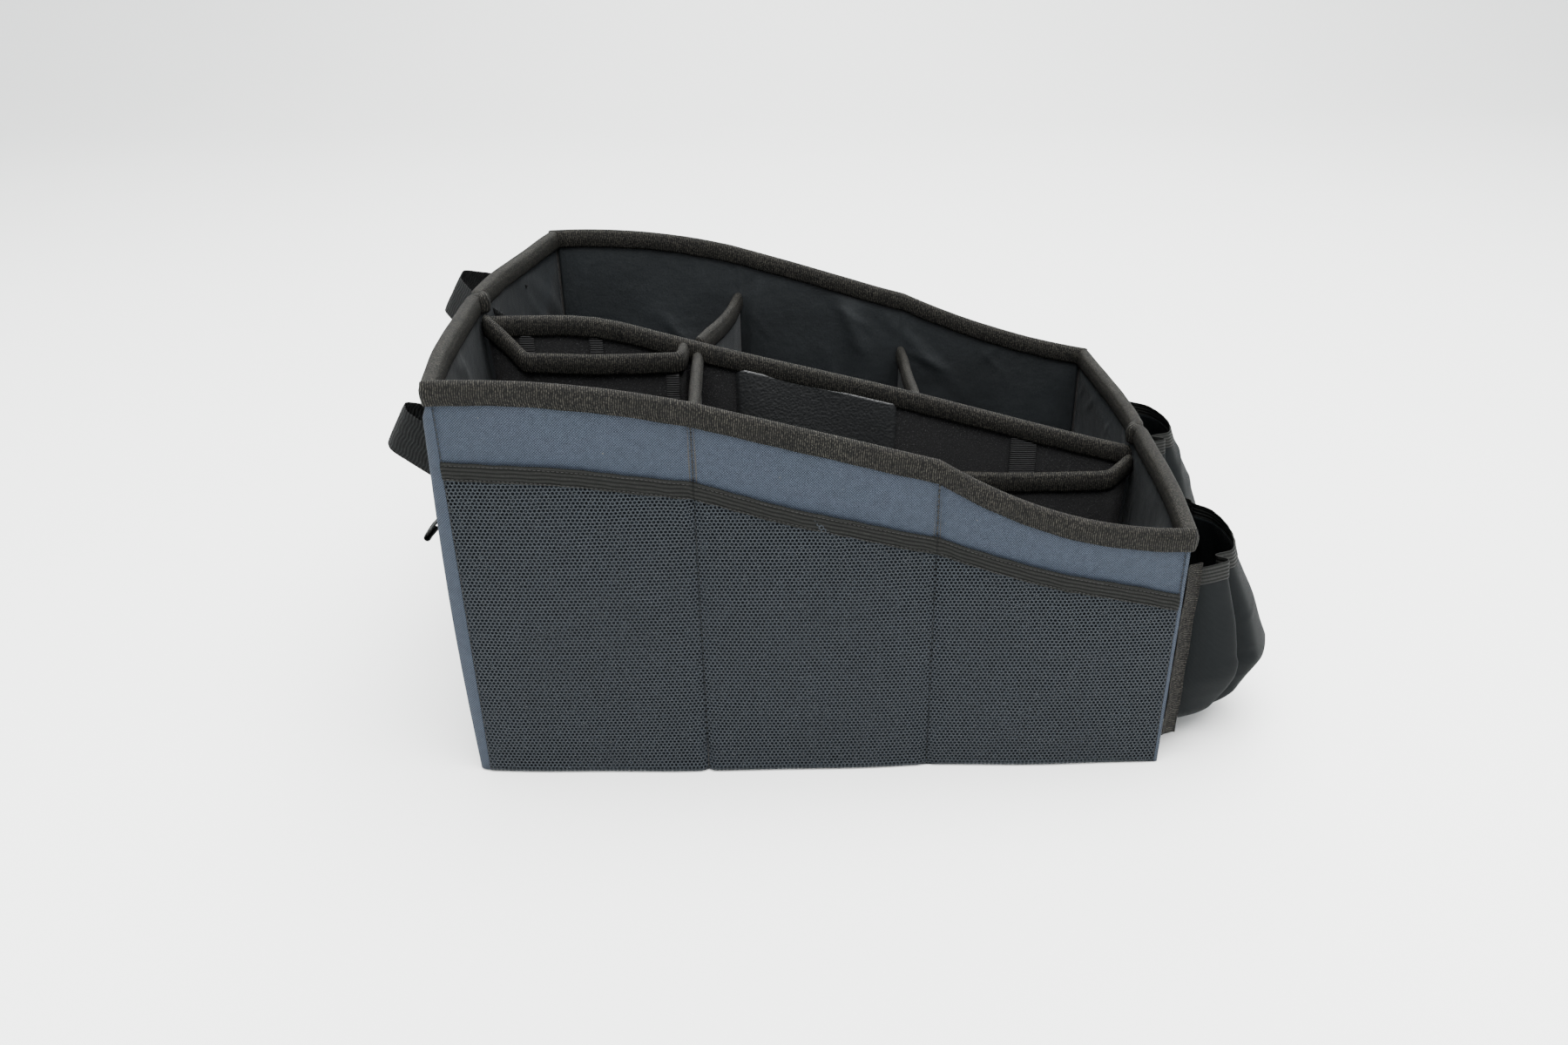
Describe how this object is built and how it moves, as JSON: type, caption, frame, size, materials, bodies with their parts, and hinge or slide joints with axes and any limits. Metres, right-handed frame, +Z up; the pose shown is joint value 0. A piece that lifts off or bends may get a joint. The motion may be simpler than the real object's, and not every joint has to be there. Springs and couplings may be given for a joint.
{
  "type": "sloped-top tool tote organizer",
  "caption": "Open soft-sided tote with board-stiffened fabric walls and a sloping rim, split by a centre divider, with mesh pockets in front and bottle pockets on the low end.",
  "frame": {"origin": "middle of the underside of the base, between the two ends and the two long walls", "axes": "+X along the base to the low end with the bottle pockets, +Y to the back wall, +Z up"},
  "size_m": [0.5581, 0.3482, 0.264],
  "materials": {
    "outer_fabric": "slate-blue polyester oxford weave",
    "base_fabric": "dark coated underside fabric",
    "lining": "black satin-finish nylon lining",
    "binding_tape": "ribbed dark brown-black grosgrain tape",
    "mesh": "fine charcoal polyester mesh",
    "elastic": "ribbed woven elastic",
    "loop_pile": "black brushed loop fabric",
    "grained_sheet": "pebble-grained black coated fabric",
    "ribbed_strip": "cross-ribbed black tape",
    "stretch_fabric": "smooth dark teal-black stretch fabric",
    "webbing": "ribbed black webbing",
    "board": "stiffener board, hidden in the walls"
  },
  "bodies": {
    "tote": {"back_board_1": "board", "back_board_2": "board", "back_board_3": "board", "back_cross_divider_1": "lining", "back_cross_divider_2": "lining", "back_cross_divider_tapes": "binding_tape", "back_lining": "lining", "back_panel": "outer_fabric", "base_board": "board", "base_lining": "lining", "base_panel": "base_fabric", "bottle_elastic_far": "elastic", "bottle_elastic_near": "elastic", "bottle_pocket_far": "stretch_fabric", "bottle_pocket_near": "stretch_fabric", "bottle_side_tapes": "binding_tape", "divider_back_face": "lining", "divider_board": "board", "divider_front_face": "loop_pile", "divider_gussets": "lining", "divider_ribbed_strips": "ribbed_strip", "divider_tape": "binding_tape", "front_board_1": "board", "front_board_2": "board", "front_board_3": "board", "front_lining": "lining", "front_panel": "outer_fabric", "grain_pocket": "grained_sheet", "hinge_seams": "webbing", "left_panel_board": "board", "left_panel_face": "loop_pile", "left_panel_tape": "binding_tape", "low_end_board_back": "board", "low_end_board_front": "board", "low_end_lining": "lining", "low_end_panel": "outer_fabric", "mesh_elastic_1": "elastic", "mesh_elastic_2": "elastic", "mesh_elastic_3": "elastic", "mesh_pocket_1": "mesh", "mesh_pocket_2": "mesh", "mesh_pocket_3": "mesh", "right_panel_board": "board", "right_panel_face": "loop_pile", "right_panel_tape": "binding_tape", "rim_tape_back": "binding_tape", "rim_tape_front": "binding_tape", "rim_tape_low_end_back": "binding_tape", "rim_tape_low_end_front": "binding_tape", "rim_tape_tall_end_back": "binding_tape", "rim_tape_tall_end_front": "binding_tape", "tall_end_board_back": "board", "tall_end_board_front": "board", "tall_end_lining": "lining", "tall_end_panel": "outer_fabric", "webbing_loop_far": "webbing", "webbing_loop_near": "webbing"},
    "cross_flap": {"front_cross_divider": "lining", "front_cross_divider_tape": "binding_tape"},
    "tab": {"webbing_tab": "webbing"}
  },
  "joints": [
    {"name": "cross_flap_swing", "type": "hinge", "parent": "tote", "child": "cross_flap", "pos_m": [-0.072, -0.16, 0.1], "axis": [0, 0, -1], "range_deg": [0, 84]},
    {"name": "tab_swing", "type": "hinge", "parent": "tote", "child": "tab", "pos_m": [-0.22232, -0.14, 0.172], "axis": [0, 1, 0], "range_deg": [-40, 70], "stiffness_Nm_per_rad": 0.02}
  ]
}
